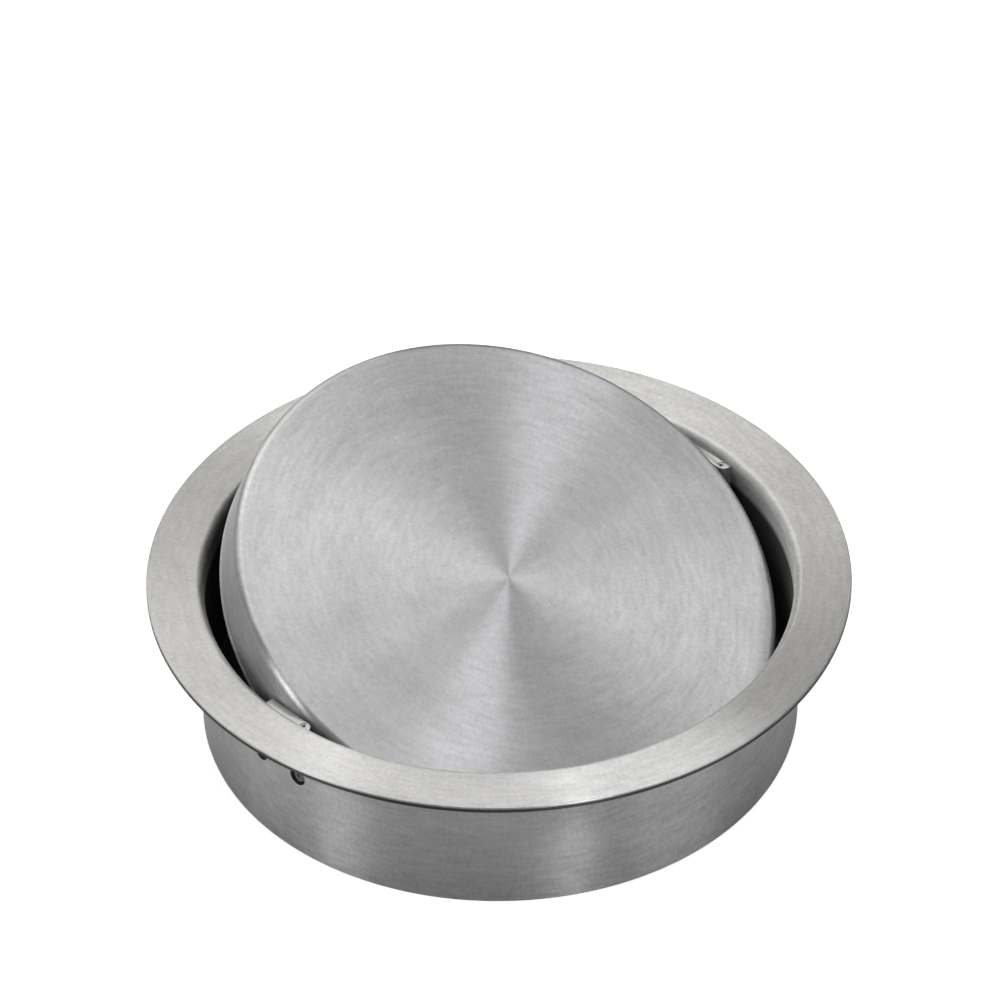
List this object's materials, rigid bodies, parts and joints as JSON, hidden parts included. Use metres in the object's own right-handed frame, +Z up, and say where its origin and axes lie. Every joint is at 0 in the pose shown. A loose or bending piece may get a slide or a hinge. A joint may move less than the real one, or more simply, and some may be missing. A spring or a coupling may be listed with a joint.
{
  "type": "desk grommet",
  "caption": "Round brushed steel desk grommet with a flanged collar and a shallow lid that tilts on a pivot across it",
  "frame": {"origin": "on the collar's axis, in the plane of the flange's underside, which is the top of the desk", "axes": "+Z up through the collar; X along the lid's pivot axis; +Y towards the side of the lid that rises"},
  "size_m": [0.093, 0.093, 0.0372],
  "materials": {
    "brushed_collar": "brushed round",
    "brushed_lid": "spun brushing",
    "bracket_steel": "satin",
    "spring_steel": "dull",
    "screw_steel": "turned",
    "bush_plastic": "matt"
  },
  "bodies": {
    "collar": {"collar_flange": "brushed_collar", "collar_wall": "brushed_collar", "left_pivot_bracket": "bracket_steel", "left_bracket_pins": "spring_steel", "left_pivot_bush": "bush_plastic", "left_disc_spring": "spring_steel", "left_level_screw": "screw_steel", "right_pivot_bracket": "bracket_steel", "right_bracket_pins": "spring_steel", "right_pivot_bush": "bush_plastic", "right_disc_spring": "spring_steel", "right_level_screw": "screw_steel"},
    "lid": {"lid_pan": "brushed_lid", "left_pivot_screw": "screw_steel", "left_stop_pin": "screw_steel", "left_lid_lug": "bracket_steel", "left_jam_nut": "screw_steel", "right_pivot_screw": "screw_steel", "right_stop_pin": "screw_steel", "right_lid_lug": "bracket_steel", "right_jam_nut": "screw_steel"}
  },
  "joints": [
    {"name": "lid_tilt", "type": "hinge", "parent": "collar", "child": "lid", "pos_m": [0, 0, -0.0031], "axis": [1, 0, 0], "range_deg": [-23.71, 66.29]}
  ]
}
